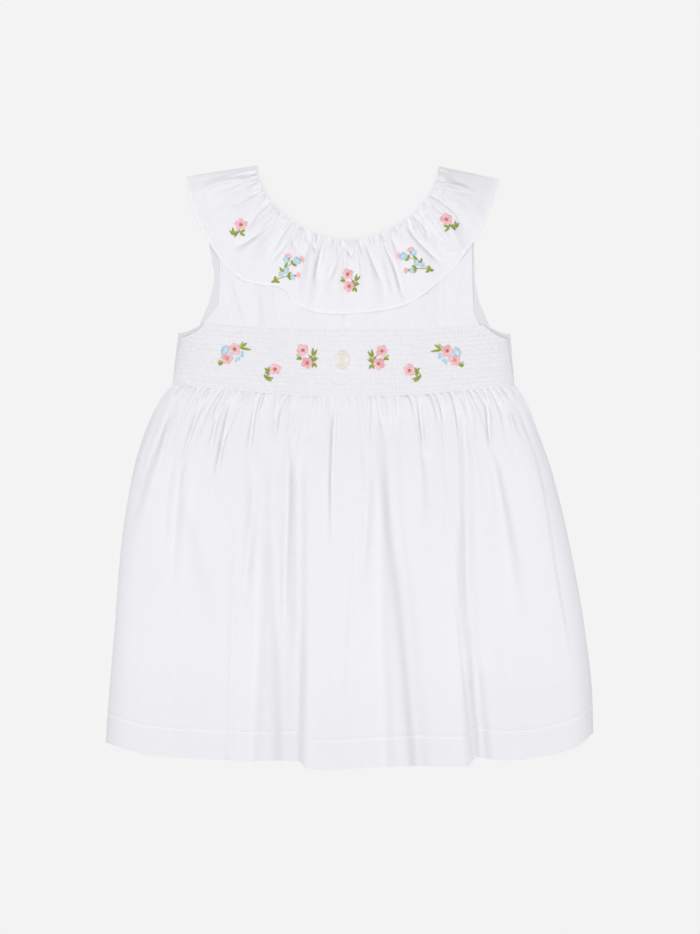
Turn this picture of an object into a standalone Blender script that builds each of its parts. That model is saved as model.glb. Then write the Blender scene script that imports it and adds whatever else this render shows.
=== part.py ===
"""A toddler's white cotton dress, laid flat on its back with its front up.

X runs to the right, Y from the hem towards the neck and Z up; the origin is under the
middle of the dress, on the surface it lies on. Sizes are in millimetres until a piece
becomes a mesh.

Every piece is a wall of cloth: a middle surface of rows and columns, offset to both sides.
From the surface up lie the back ruffle, the back yoke, the front yoke and the front ruffle.
Below them the shirred bands and the two skirt panels lie on each other.
"""
import bpy
import numpy as np

METRES = 0.001

# ---- cloth --------------------------------------------------------------------------
COTTON = 1.2            # wall of the plain panels
SHIRRED = 1.8           # wall of the bands, thick with rows of elastic
SEAM = 0.3              # clearance where two pieces meet

# ---- heights of the middle surfaces ---------------------------------------------------
BACK_FLAT = COTTON / 2              # a back panel that lies on the surface
BAND_BACK = SHIRRED / 2
BAND_FRONT = BAND_BACK + SHIRRED + SEAM
YOKE_BACK = 3.7                     # room under it for the flutes of the back ruffle
YOKE_FRONT = YOKE_BACK + COTTON + SEAM
RUFFLE_FRONT = YOKE_FRONT + COTTON + SEAM
SKIRT_FLOOR = 2.4                   # the deepest troughs of the front skirt
SKIRT_HEIGHT = 7.5                  # the front skirt between its folds
SIDE_SEAM = 3.9                     # where the front and back skirts meet at the sides
SHOULDER_SEAM = 3.5                 # where the front and back ruffles meet

# ---- skirt ----------------------------------------------------------------------------
SIDE_ROLL = 17.0                    # how far in from each side the front skirt rolls down
GATHER_RISE = 0.10                  # part of the length over which it swells at the waist
FOLD_GROWS, FOLD_FADES = 0.12, 0.20 # parts of the length over which a fold comes and goes
FLOOR_SOFTNESS = 0.6                # how gently the troughs flatten onto the back panel
FOLD_COLUMNS = 1.6                  # how strongly mesh columns crowd onto the folds
BACK_LIFT = 0.16                    # how much of the front's folds shows in the back panel
WAIST_MIDDLE, WAIST_RISE, WAIST_REACH = 57.8, 10.5, 145.0

# ---- band -----------------------------------------------------------------------------
BAND_LEFT, BAND_RIGHT = -139.5, 130.0       # its top corners, the points of the underarms
BAND_FLARE = (7.5, 6.0)                     # how far its sides lean out down to the waist
BAND_TOP_MIDDLE, BAND_TOP_RISE = 113.5, 7.0
UNDERARM_CUT, UNDERARM_DROP = 20.0, 13.0    # the armholes trim the band's top corners

# ---- neck, a rounded scoop --------------------------------------------------------------
NECK_X, NECK_TOP = -1.7, 249.0
NECK_HALF, NECK_DEEP, NECK_POWER = 75.0, 61.5, 1.8

# ---- yoke -----------------------------------------------------------------------------
SHOULDER_INSET = 7.5                # the yokes end this far inside the ruffle's shoulder folds
YOKE_SLOPE = 14.0                   # a yoke climbs from the band over this length

# ---- ruffle ---------------------------------------------------------------------------
RUFFLE_ROLL = 7.0                   # how far in from a shoulder fold the ruffle turns down
RUFFLE_CENTRE = (-1.7, 240.0)       # the reach of the ruffle is measured from here
RUFFLE_LOFT = 1.5                   # how far the front ruffle stands off the yoke
LAST_ANGLE = 179.0                  # the right shoulder, in degrees round from the left one


def table(header, *rows):
    """Rows of numbers as named columns."""
    return dict(zip(header.split(), np.array(rows, float).T))


# The skirt's side edges, by how far down the skirt they are.
SKIRT_SIDES = table(
    "down   left    right",
    (0.00, -147.0, 136.3),
    (0.05, -158.0, 146.0),
    (0.14, -170.0, 156.0),
    (0.25, -179.5, 167.0),
    (0.45, -189.0, 181.0),
    (0.70, -195.0, 194.0),
    (0.90, -200.0, 200.3),
    (1.00, -202.0, 201.0),
)

# The hem, with a step where the panel folds over itself left and right of the middle.
HEM = table(
    "across    along",
    (-202.0, -228.0),
    (-164.0, -238.0),
    (-110.0, -241.5),
    (-41.0, -243.8),
    (-36.5, -248.4),
    (-15.0, -250.0),
    (31.0, -247.2),
    (97.0, -247.0),
    (103.5, -240.0),
    (128.0, -242.0),
    (165.0, -238.0),
    (188.0, -230.5),
    (201.0, -220.0),
)

# Largest folds of the front skirt: X at the waist, a quarter down, halfway and at the hem;
# where each starts and ends down the skirt; its half width; and its rise, minus for a trough.
SKIRT_FOLDS = table(
    "waist  quarter  half    hem   start  end  half_width rise",
    (-141, -165, -192, -206, 0.02, 0.50, 6.5, -4.0),
    (-124, -143, -158, -166, 0.20, 0.85, 8.0, 3.0),
    (-121, -138, -126, -112, 0.03, 0.66, 6.0, -2.5),
    (-97, -110, -115, -118, 0.02, 0.32, 4.5, -3.5),
    (-73, -80, -87, -103, 0.02, 1.05, 5.5, -4.5),
    (-68, -73, -73, -80, 0.12, 1.20, 8.0, 3.5),
    (-58, -64, -61, -62, 0.02, 0.85, 5.5, -4.5),
    (-50, -51, -54, -57, 0.10, 0.80, 4.5, 3.5),
    (-42, -43, -47, -47, 0.02, 1.20, 6.0, -8.0),
    (-30, -32, -32, -29, 0.20, 1.20, 8.0, 2.5),
    (-13, -14, -15, -13, 0.02, 0.55, 5.0, -3.0),
    (17, 14, 8, -2, 0.02, 0.75, 6.0, -3.0),
    (24, 22, 23, 24, 0.15, 1.00, 9.0, 3.5),
    (31, 32, 41, 56, 0.02, 1.20, 6.5, -8.0),
    (55, 67, 58, 56, 0.03, 0.36, 6.5, -4.0),
    (88, 85, 87, 93, 0.18, 1.20, 7.0, 3.5),
    (97, 96, 97, 107, 0.02, 1.20, 6.0, -8.5),
    (116, 126, 145, 156, 0.02, 0.65, 5.5, -3.5),
    (112, 123, 135, 147, 0.15, 0.90, 7.0, 3.0),
    (134, 158, 171, 191, 0.04, 1.20, 5.0, -2.5),
)

# The armhole edges of both yokes, up from the band to the shoulders.
ARMHOLES = table(
    "height  front_left  front_right  back_left  back_right",
    (119.0, -122.0, 107.0, -125.5, 116.5),
    (130.0, -112.8, 102.4, -119.8, 110.7),
    (138.0, -108.6, 102.0, -116.5, 107.0),
    (158.0, -107.8, 101.3, -112.5, 103.5),
    (190.0, -107.8, 100.8, -116.5, 102.4),
    (240.0, -111.0, 99.0, -118.0, 102.4),
)

# The shoulder folds, either side of the neck.
SHOULDERS = table(
    "across   along",
    (-136.3, 240.4),
    (-74.0, 248.6),
    (73.5, 249.5),
    (123.1, 237.9),
)

# How far the ruffle's outer edge reaches, by the angle round from the left shoulder.
RUFFLE_REACH = table(
    "angle  reach",
    (0.0, 134.6),
    (12.0, 131.2),
    (24.0, 126.8),
    (38.0, 124.8),
    (46.0, 121.0),
    (53.0, 111.5),
    (60.0, 108.5),
    (68.0, 114.0),
    (90.0, 113.0),
    (110.0, 114.2),
    (130.0, 115.0),
    (150.0, 117.2),
    (165.0, 120.0),
    (179.0, 124.8),
)

# Flutes of the ruffle: the angle where each leaves the neck and where it reaches the edge,
# half of its spread in degrees, and its rise above or below the ruffle's own height.
FLUTES = table(
    "neck   edge  spread  rise",
    (8, 12, 5.0, -1.5),
    (16, 24, 5.5, 2.5),
    (26, 34, 4.5, -1.5),
    (36, 42, 4.5, 2.5),
    (44, 51, 4.0, -1.5),
    (52, 58, 3.5, 3.0),
    (61, 66, 4.0, -1.5),
    (68, 72, 3.0, 3.5),
    (76, 77, 4.0, -2.0),
    (84, 84, 4.0, 3.0),
    (93, 93, 4.5, -0.5),
    (101, 101, 4.0, 2.5),
    (108, 107, 3.5, -1.5),
    (115, 111, 3.5, 3.0),
    (122, 116, 3.5, -1.5),
    (132, 126, 4.5, 3.0),
    (144, 139, 4.5, -2.0),
    (152, 146, 3.0, 4.0),
    (160, 155, 4.0, -1.5),
    (168, 163, 4.0, 2.5),
    (174, 171, 3.5, -1.0),
)


def smooth_through(x, stations, values):
    """A smooth curve through the values at the stations, which never overshoots them."""
    steps = np.diff(values) / np.diff(stations)
    before, after = steps[:-1], steps[1:]
    same_way = before * after > 0
    total = np.where(same_way, before + after, 1.0)
    inner = np.where(same_way, 2 * before * after / total, 0.0)
    slopes = np.concatenate(([steps[0]], inner, [steps[-1]]))
    x = np.clip(x, stations[0], stations[-1])
    i = np.clip(np.searchsorted(stations, x, side="right") - 1, 0, len(steps) - 1)
    span = stations[i + 1] - stations[i]
    u = (x - stations[i]) / span
    return ((1 + 2 * u) * (1 - u) ** 2 * values[i] + u * u * (3 - 2 * u) * values[i + 1]
            + span * u * (1 - u) * ((1 - u) * slopes[i] - u * slopes[i + 1]))


def ease(x):
    """0 below 0 and 1 above 1, with a soft step between."""
    x = np.clip(x, 0.0, 1.0)
    return x * x * (3 - 2 * x)


def waist_line(x):
    return WAIST_MIDDLE + WAIST_RISE * np.abs(x / WAIST_REACH) ** 1.7


def yoke_seam(x):
    """The seam between band and yoke."""
    return BAND_TOP_MIDDLE + BAND_TOP_RISE * (x / BAND_LEFT) ** 2


def band_top_line(x, left, right):
    """The band's top edge: the yoke seam, hollowed at both ends where the armholes begin."""
    inward = np.clip(np.minimum(x - left, right - x) / UNDERARM_CUT, 0.0, 1.0)
    return yoke_seam(x) - UNDERARM_DROP * (1 - inward ** 1.5)


# ---- skirt surfaces ---------------------------------------------------------------------
def skirt_point(across, down):
    """X and Y of a place on the skirt; across and down both run from 0 to 1."""
    left = smooth_through(down, SKIRT_SIDES["down"], SKIRT_SIDES["left"])
    right = smooth_through(down, SKIRT_SIDES["down"], SKIRT_SIDES["right"])
    x = left + (right - left) * across
    waist_x, hem_x = (
        SKIRT_SIDES["left"][end] * (1 - across) + SKIRT_SIDES["right"][end] * across for end in (0, -1)
    )
    hem_y = smooth_through(hem_x, HEM["across"], HEM["along"])
    y = (1 - down) * (waist_line(waist_x) - SEAM) + down * hem_y
    return x, y, np.minimum(x - left, right - x)


def fold_height(x, down):
    """The rise of all the skirt's folds together at X, so far down the skirt."""
    stations = np.array((0.0, 0.25, 0.55, 1.0))
    height = np.zeros_like(x)
    folds = zip(*(SKIRT_FOLDS[name] for name in SKIRT_FOLDS))
    for waist, quarter, half, hem, start, end, half_width, rise in folds:
        path = smooth_through(down, stations, np.array((waist, quarter, half, hem)))
        grows = ease((down - start) / FOLD_GROWS) * ease((end - down) / FOLD_FADES)
        height += rise * grows * np.exp(-((x - path) / half_width) ** 2)
    return height


def front_skirt_height(across, down):
    x, y, from_side = skirt_point(across, down)
    roll = np.sqrt(1 - (1 - np.clip(from_side / SIDE_ROLL, 0.0, 1.0)) ** 2)
    swell = ease(down / GATHER_RISE)
    body = BAND_FRONT + (SKIRT_HEIGHT - BAND_FRONT) * swell + fold_height(x, down) * swell
    body = SKIRT_FLOOR + FLOOR_SOFTNESS * np.logaddexp(0.0, (body - SKIRT_FLOOR) / FLOOR_SOFTNESS)
    edge = BAND_FRONT + (SIDE_SEAM + (COTTON + SEAM) / 2 - BAND_FRONT) * swell
    return edge + (body - edge) * roll


def back_skirt_height(across, down):
    x, y, from_side = skirt_point(across, down)
    roll = 1 - np.sqrt(1 - (1 - np.clip(2 * from_side / SIDE_ROLL, 0.0, 1.0)) ** 2)
    away = ease(down / GATHER_RISE)
    lift = BACK_LIFT * (front_skirt_height(across, down) - SKIRT_HEIGHT) * (1 - roll)
    edge = SIDE_SEAM - (COTTON + SEAM) / 2 - BACK_FLAT
    return BACK_FLAT + away * (edge * roll + np.maximum(lift, 0.0) * ease(from_side / SIDE_ROLL))


def even_columns(height, down, count):
    """Places across a row that share out the cloth's own length evenly, folds included."""
    across = np.linspace(0, 1, 901)
    x = skirt_point(across, down)[0]
    z = height(across, np.full_like(across, down))
    lengths = np.hypot(np.diff(x), FOLD_COLUMNS * np.diff(z))
    run = np.concatenate(([0], np.cumsum(lengths)))
    return np.interp(np.linspace(0, run[-1], count + 1), run, across)


def skirt_panel(height, rows, count):
    """The middle surface of a skirt panel, row by row from waist to hem."""
    surface = []
    for down in rows:
        across = even_columns(height, down, count)
        level = np.full_like(across, down)
        x, y, _ = skirt_point(across, level)
        surface.append(np.column_stack((x, y, height(across, level))))
    return np.array(surface)


# ---- bodice surfaces ----------------------------------------------------------------------
def band_panel(height, grow, rows, count):
    """A shirred band; grow widens it at the top, where the back shows past the front."""
    surface = []
    for down in np.linspace(0, 1, rows + 1):
        left = BAND_LEFT - grow * (1 - down) - BAND_FLARE[0] * down
        right = BAND_RIGHT + grow * (1 - down) + BAND_FLARE[1] * down
        even = np.linspace(0, 1, count + 1)
        across = (even + 0.5 - 0.5 * np.cos(np.pi * even)) / 2
        x = left + (right - left) * across
        top = band_top_line(x, left, right)
        y = top + (waist_line(x) + SEAM - top) * down
        surface.append(np.column_stack((x, y, np.full_like(x, height))))
    return np.array(surface)


def neck_line(x):
    part = np.clip(np.abs((x - NECK_X) / NECK_HALF), 0.0, 1.0)
    return NECK_TOP - NECK_DEEP * (1 - part ** NECK_POWER) ** (1 / NECK_POWER)


def yoke_panel(side, height, band_height, rows, count):
    """The yoke of one side, from the band's seam up to the neck and shoulders."""
    surface = []
    for up in np.linspace(1, 0, rows + 1) ** 1.4:
        level = yoke_seam(100.0) + (240.0 - yoke_seam(100.0)) * up
        left = smooth_through(level, ARMHOLES["height"], ARMHOLES[side + "_left"])
        right = smooth_through(level, ARMHOLES["height"], ARMHOLES[side + "_right"])
        around_neck = NECK_X + NECK_HALF * np.sin(np.linspace(-np.pi / 2, np.pi / 2, count - 3))
        x = np.concatenate(((left, (left - 77) / 2), around_neck, ((right + 74) / 2, right)))
        bottom = yoke_seam(x) + SEAM
        shoulder = np.interp(x, SHOULDERS["across"], SHOULDERS["along"]) - SHOULDER_INSET
        top = np.minimum(neck_line(x), shoulder)
        y = bottom + (top - bottom) * up
        z = band_height + (height - band_height) * ease((y - bottom) / YOKE_SLOPE)
        surface.append(np.column_stack((x, y, z)))
    return np.array(surface)


def ruffle_panel(side, height, flute_share, shrink, rows, count):
    """Half of the ruffle, fanned out from the neck; side is 1 for the front and -1 for the back."""
    angle = np.linspace(0, LAST_ANGLE, count + 1)
    turn = np.radians(angle)
    neck_x = NECK_X - NECK_HALF * np.sign(np.cos(turn)) * np.abs(np.cos(turn)) ** (2 / NECK_POWER)
    neck_y = NECK_TOP - NECK_DEEP * np.sin(turn) ** (2 / NECK_POWER)
    reach = smooth_through(angle, RUFFLE_REACH["angle"], RUFFLE_REACH["reach"]) - shrink * np.sin(turn)
    edge_x = RUFFLE_CENTRE[0] - reach * np.cos(turn)
    edge_y = RUFFLE_CENTRE[1] - reach * np.sin(turn)
    surface = []
    for out in np.linspace(0, 1, rows + 1) ** 0.9:
        x = neck_x + (edge_x - neck_x) * out
        y = neck_y + (edge_y - neck_y) * out
        rise = np.zeros_like(x)
        for at_neck, at_edge, spread, flute in zip(*(FLUTES[name] for name in FLUTES)):
            middle = at_neck + (at_edge - at_neck) * out
            rise += flute * np.exp(-((angle - middle) / spread) ** 2)
        rise *= flute_share * ease(out / 0.45)
        loft = RUFFLE_LOFT * ease(out / 0.3) if side > 0 else 0.0
        body = height + np.maximum(rise + loft, 0.0)
        radius = NECK_HALF + (reach - NECK_HALF) * out
        from_fold = np.radians(np.minimum(angle, LAST_ANGLE - angle)) * radius
        roll = np.sqrt(1 - (1 - np.clip(from_fold / RUFFLE_ROLL, 0.0, 1.0)) ** 2)
        fold = SHOULDER_SEAM + side * (COTTON + SEAM) / 2
        surface.append(np.column_stack((x, y, fold + (body - fold) * roll)))
    return np.array(surface)


# ---- from surface to solid -----------------------------------------------------------------
def cotton(name, tint):
    material = bpy.data.materials.new(name)
    material.use_nodes = True
    shader = material.node_tree.nodes["Principled BSDF"]
    shader.inputs["Base Color"].default_value = (*tint, 1.0)
    shader.inputs["Roughness"].default_value = 0.9
    shader.inputs["Metallic"].default_value = 0.0
    return material


def wall(name, surface, thickness, tint):
    """A closed wall of even thickness about a middle surface of rows and columns."""
    down, across = np.gradient(surface, axis=0), np.gradient(surface, axis=1)
    normal = np.cross(down, across)
    normal /= np.linalg.norm(normal, axis=2, keepdims=True)
    upper = surface + normal * thickness / 2
    lower = surface - normal * thickness / 2
    rows, columns = surface.shape[:2]
    points = np.concatenate((upper.reshape(-1, 3), lower.reshape(-1, 3))) * METRES
    under = rows * columns

    def at(row, column):
        return row * columns + column

    faces = []
    for row in range(rows - 1):
        for column in range(columns - 1):
            quad = (at(row, column), at(row + 1, column), at(row + 1, column + 1), at(row, column + 1))
            faces.append(quad)
            faces.append(tuple(under + corner for corner in reversed(quad)))
    rim = [at(0, column) for column in range(columns)]
    rim += [at(row, columns - 1) for row in range(1, rows)]
    rim += [at(rows - 1, column) for column in range(columns - 2, -1, -1)]
    rim += [at(row, 0) for row in range(rows - 2, 0, -1)]
    for here, there in zip(rim, rim[1:] + rim[:1]):
        faces.append((here, there, under + there, under + here))

    mesh = bpy.data.meshes.new(name)
    mesh.from_pydata(points.tolist(), [], faces)
    mesh.materials.append(cotton(name + "_cotton", tint))
    piece = bpy.data.objects.new(name, mesh)
    bpy.context.scene.collection.objects.link(piece)
    mesh.shade_smooth()
    return piece


def build():
    for old in list(bpy.data.objects):
        bpy.data.objects.remove(old, do_unlink=True)
    white, shade = (0.86, 0.86, 0.88), (0.80, 0.80, 0.83)

    front_rows = np.array((0, 2.5, 6, 10, 16, 23, 30, 38, 46, 54, 62, 70, 79, 88, 95, 100)) / 100
    back_rows = np.array((0, 5, 11, 20, 32, 45, 58, 72, 86, 100)) / 100
    wall("skirt_front", skirt_panel(front_skirt_height, front_rows, 64), COTTON, white)
    wall("skirt_back", skirt_panel(back_skirt_height, back_rows, 36), COTTON, shade)
    wall("band_front", band_panel(BAND_FRONT, 0.0, 4, 22), SHIRRED, white)
    wall("band_back", band_panel(BAND_BACK, 2.5, 4, 22), SHIRRED, shade)
    wall("yoke_front", yoke_panel("front", YOKE_FRONT, BAND_FRONT, 6, 20), COTTON, white)
    wall("yoke_back", yoke_panel("back", YOKE_BACK, BAND_BACK, 6, 20), COTTON, shade)
    wall("ruffle_front", ruffle_panel(1, RUFFLE_FRONT, 1.0, 0.0, 6, 66), COTTON, white)
    wall("ruffle_back", ruffle_panel(-1, BACK_FLAT, 0.45, 3.0, 4, 44), COTTON, shade)


build()
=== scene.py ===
"""The looks of a toddler's white cotton dress, laid flat on its back with its front up.

X runs to the right, Y from the hem towards the neck and Z up, as in the frame. Sizes are in
millimetres until a piece becomes a mesh. Each piece of cloth is a thin shell on the surface
that its own solid has, with its folds, gathers, hems and stitches shaped on it.
"""

import bpy
import numpy as np
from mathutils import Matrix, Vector
from mathutils.bvhtree import BVHTree


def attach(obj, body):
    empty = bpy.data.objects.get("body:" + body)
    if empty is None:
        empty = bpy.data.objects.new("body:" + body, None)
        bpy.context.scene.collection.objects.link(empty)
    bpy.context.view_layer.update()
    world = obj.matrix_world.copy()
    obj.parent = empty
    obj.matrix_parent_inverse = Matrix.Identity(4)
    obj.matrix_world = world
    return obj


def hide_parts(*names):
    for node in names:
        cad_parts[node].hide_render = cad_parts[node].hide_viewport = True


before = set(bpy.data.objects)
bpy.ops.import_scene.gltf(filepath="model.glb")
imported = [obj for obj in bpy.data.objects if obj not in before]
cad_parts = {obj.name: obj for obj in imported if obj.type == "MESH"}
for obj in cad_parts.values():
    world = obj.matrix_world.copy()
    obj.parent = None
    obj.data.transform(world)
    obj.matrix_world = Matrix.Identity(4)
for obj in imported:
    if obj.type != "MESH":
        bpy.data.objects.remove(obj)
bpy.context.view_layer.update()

# ---- Room -------------------------------------------------------------------------------
# A plain pale floor, even light from all round and one broad soft lamp high above, a little
# to the left of the hem. The camera looks straight down on the dress.
CAMERA_HEIGHT = 1.828
FLOOR_TINT, FLOOR_GLOW = 0.10, 0.775     # a pale sheet lit faintly from below
FLOOR_REACH = 40.0      # metres each way
SKY_STRENGTH = 0.30
LAMP_STRENGTH = 2.93
LAMP_WIDTH = 0.90       # radians across
LAMP_TILT = (0.12, -0.06)

eye = bpy.data.cameras.new("eye")
eye.lens, eye.sensor_width = 85.0, 36.0
camera = bpy.data.objects.new("camera", eye)
camera.location = (0.0, 0.0, CAMERA_HEIGHT)
bpy.context.scene.collection.objects.link(camera)
bpy.context.scene.camera = camera

sky = bpy.data.worlds.new("sky")
sky.use_nodes = True
sky.node_tree.nodes["Background"].inputs["Color"].default_value = (0.985, 0.985, 1.0, 1.0)
sky.node_tree.nodes["Background"].inputs["Strength"].default_value = SKY_STRENGTH
bpy.context.scene.world = sky

lamp_data = bpy.data.lights.new("lamp", "SUN")
lamp_data.energy, lamp_data.angle = LAMP_STRENGTH, LAMP_WIDTH
lamp = bpy.data.objects.new("lamp", lamp_data)
lamp.rotation_euler = (LAMP_TILT[0], LAMP_TILT[1], 0.0)
bpy.context.scene.collection.objects.link(lamp)
bpy.context.scene.view_settings.view_transform = "Standard"

floor_mesh = bpy.data.meshes.new("floor")
corners = [(x * FLOOR_REACH, y * FLOOR_REACH, 0) for x, y in ((-1, -1), (1, -1), (1, 1), (-1, 1))]
floor_mesh.from_pydata(corners, [], [(0, 1, 2, 3)])
floor = bpy.data.objects.new("floor", floor_mesh)
floor.location.z = -0.0002
bpy.context.scene.collection.objects.link(floor)
paper = bpy.data.materials.new("floor_paper")
paper.use_nodes = True
paper.node_tree.nodes["Principled BSDF"].inputs["Base Color"].default_value = (FLOOR_TINT,) * 3 + (1.0,)
paper.node_tree.nodes["Principled BSDF"].inputs["Roughness"].default_value = 1.0
paper.node_tree.nodes["Principled BSDF"].inputs["Specular IOR Level"].default_value = 0.0
paper.node_tree.nodes["Principled BSDF"].inputs["Emission Color"].default_value = (1.0, 1.0, 1.0, 1.0)
paper.node_tree.nodes["Principled BSDF"].inputs["Emission Strength"].default_value = FLOOR_GLOW
floor_mesh.materials.append(paper)

# ---- Front skirt --------------------------------------------------------------------------
# One wide panel of fine white cotton, gathered along the waist seam so that it falls in long
# uneven folds, and turned up twice into a deep hem. It lies on the back skirt.
METRES = 0.001
CLOTH = 0.6                         # cotton, as thick as its hems and turnings make it look
SKIRT_HEIGHT = 7.5                  # the front skirt between its folds
SKIRT_FLOOR = 1.9                   # its deepest troughs
WAIST_LEVEL = 3.3                   # where the skirt goes into the waist seam
SIDE_SEAM = 2.6                     # where the front and back skirts meet at the sides
SIDE_ROLL = 17.0                    # how far in from each side the front skirt rolls down
WAIST_MIDDLE, WAIST_RISE, WAIST_REACH = 57.8, 10.5, 145.0
SKIRT_DROP = 305.0                  # from the waist seam to the hem's edge
NEAR_WAIST = 300.0                  # as the drop, for the narrow ridge along the waist seam
HEM_DEPTH = 24.0                    # of the turned-up hem
HEM_THICKER, HEM_RIDGE = 0.10, 0.15     # the turned-up cloth, and its stitched edge
WEAVE = 0.00042                     # metres from one thread of the weave to the next

# The side edges, by how far down the skirt they are.
SKIRT_SIDES = """
    down     left    right
    0.00   -147.0    136.3
    0.05   -158.0    146.0
    0.14   -170.0    156.0
    0.25   -179.5    167.0
    0.45   -189.0    181.0
    0.70   -195.0    194.0
    0.90   -200.0    200.3
    1.00   -202.0    201.0
"""

# The hem's edge, with a step to either side of the middle.
SKIRT_HEM = """
    across    along
    -202.0   -228.0
    -164.0   -238.0
    -110.0   -241.5
     -41.0   -243.8
     -36.5   -248.4
     -15.0   -250.0
      31.0   -247.2
      97.0   -247.0
     103.5   -240.0
     128.0   -242.0
     165.0   -238.0
     188.0   -230.5
     201.0   -220.0
"""

# Folds: X at the waist, a quarter down, at 0.55 and at the hem; where each starts and ends
# down the skirt; its reach to the left and right; and its rise, minus for a trough.
SKIRT_FOLDS = """
    waist  quarter   low   hem  start   end   left  right   rise
     -140     -170  -189  -206   0.02  0.48    4.5    5.0   -3.8
     -149     -178  -197  -215   0.04  0.36    4.0    4.0    1.2
   -120.5     -141  -148  -153   0.01  0.25    2.0    2.2   -3.4
     -127     -142  -149  -156   0.15  0.58    5.0    5.5    2.6
     -150     -136  -115  -100   0.28  0.66    8.0   10.0   -1.8
    -96.5     -110  -113  -115   0.01  0.30    2.2    2.4   -2.6
     -101     -115  -118  -120   0.03  0.26    2.5    2.5    1.0
   -108.5     -116  -120  -120   0.02  0.22    2.0    2.0   -1.2
    -76.5      -87   -88   -88   0.01  0.19    1.8    2.0   -2.8
      -82      -80   -87   -98   0.15  0.66    4.5    4.5   -2.4
      -92      -92   -96  -100   0.34  1.40    3.0    3.0   -1.1
      -75      -75   -76   -82   0.34  1.40    7.0    6.5    2.8
      -59      -64   -66   -66   0.01  0.15    2.2    2.4   -2.8
      -60      -64   -60   -55   0.11  1.40    6.0    6.0   -2.4
      -52      -51   -54   -52   0.06  0.74    3.0    2.8    1.8
      -41      -42   -42   -45   0.12  1.40    7.0    6.0   -4.2
      -43      -45   -47   -50   0.60  1.40   13.0    8.0   -3.0
      -33      -34   -34   -32   0.15  1.30    6.0   12.0    0.7
       -8      -61   -61   -61   0.07  0.18    5.0    5.0   -1.2
      -12      -15   -15   -16   0.01  0.44    1.8    2.2   -2.0
      -17      -19   -19   -20   0.04  0.42    3.0    2.0    1.2
       -1       -3    -4    -4   0.01  0.12    1.3    1.3   -1.3
        8        7     1    -7   0.32  0.86    1.8    3.0   -0.8
       10       15     8     2   0.08  0.64    4.0    4.0   -1.8
       18       17    18    18   0.01  0.16    1.6    1.6   -1.8
       24       24    24    28   0.16  1.30    8.0    7.0    3.2
       24       32    36    36   0.01  0.14    1.4    1.4   -1.3
       31       33    43    56   0.04  1.40    6.0    8.0   -3.8
       41       43    50    60   0.40  1.40    8.0    9.0   -1.8
       37       40    49    61   0.22  0.80    1.4    1.4   -0.4
       56       64    66    66   0.01  0.17    1.8    2.0   -2.8
       50       67    62    62   0.13  0.38    5.0    5.0   -2.6
       58       74    87   102   0.05  1.40    1.1    1.4   -0.5
       77       83    94    94   0.03  0.38    4.0    4.0   -2.0
       84       86    87    94   0.30  1.30    8.0    4.0    1.2
       95       96    99   110   0.01  1.40    4.4    5.5   -3.0
       95       96    96   100   0.30  0.74    6.0    3.0   -1.6
       96       97    99   108   0.70  1.40    8.0    8.0   -3.2
      113      117   122   122   0.01  0.19    1.8    2.2   -3.4
      112      128   146   162   0.13  0.62    5.0    8.0   -2.0
      112      122   134   148   0.16  0.74    5.5    6.0    2.0
      107      115   120   124   0.18  0.50    4.0    3.0   -0.8
      127      135   140   140   0.02  0.11    3.0    3.0   -2.2
      134      157   172   196   0.01  0.18    1.2    1.6   -1.8
      134      158   173   196   0.12  0.85    1.2   16.0   -1.2
"""


def table(text):
    """The named columns of a table."""
    header, *rows = text.strip().splitlines()
    return dict(zip(header.split(), np.array([row.split() for row in rows], float).T))


def smooth_through(x, stations, values):
    """A smooth curve through the values at the stations, which never overshoots them."""
    steps = np.diff(values) / np.diff(stations)
    before, after = steps[:-1], steps[1:]
    same_way = before * after > 0
    total = np.where(same_way, before + after, 1.0)
    inner = np.where(same_way, 2 * before * after / total, 0.0)
    slopes = np.concatenate(([steps[0]], inner, [steps[-1]]))
    x = np.clip(x, stations[0], stations[-1])
    i = np.clip(np.searchsorted(stations, x, side="right") - 1, 0, len(steps) - 1)
    span = stations[i + 1] - stations[i]
    u = (x - stations[i]) / span
    return ((1 + 2 * u) * (1 - u) ** 2 * values[i] + u * u * (3 - 2 * u) * values[i + 1]
            + span * u * (1 - u) * ((1 - u) * slopes[i] - u * slopes[i + 1]))


def ease(x):
    """0 below 0 and 1 above 1, with a soft step between."""
    x = np.clip(x, 0.0, 1.0)
    return x * x * (3 - 2 * x)


def soft_noise(u, v, seed):
    """Smooth chance waves from -1 to 1, with a new value at every whole step of u and v."""
    lattice = np.random.default_rng(seed).uniform(-1, 1, (101, 103))
    column, row = np.floor(u).astype(int), np.floor(v).astype(int)
    right, down = ease(u - column), ease(v - row)

    def value(i, j):
        return lattice[(column + i) % 101, (row + j) % 103]

    near = value(0, 0) * (1 - right) + value(1, 0) * right
    far = value(0, 1) * (1 - right) + value(1, 1) * right
    return near * (1 - down) + far * down


def hump(distance, left, right):
    """A rounded ridge of height 1, which reaches further to one side than to the other."""
    return np.exp(-(distance / np.where(distance < 0, left, right)) ** 2)


def kept_above(lowest, softness, height):
    """The height, bent softly so that it never goes under the lowest."""
    return lowest + softness * np.logaddexp(0.0, (height - lowest) / softness)


def rolled_down(inward):
    """How far a rolled edge has risen to the cloth's full height: inward is 0 at the edge."""
    return 0.3 * np.sqrt(1 - (1 - inward) ** 2) + 0.7 * inward * (1.5 - 0.5 * inward ** 2)


def from_ends(surface):
    """The distance in X of each point from the nearer end of its row."""
    x = surface[:, :, 0]
    return np.minimum(x - x[:, :1], x[:, -1:] - x)


def waist_line(x):
    return WAIST_MIDDLE + WAIST_RISE * np.abs(x / WAIST_REACH) ** 1.7


skirt_sides, skirt_hem = table(SKIRT_SIDES), table(SKIRT_HEM)
skirt_folds = table(SKIRT_FOLDS)
SKIRT_STATIONS = np.array((0.0, 0.25, 0.55, 1.0))


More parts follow.
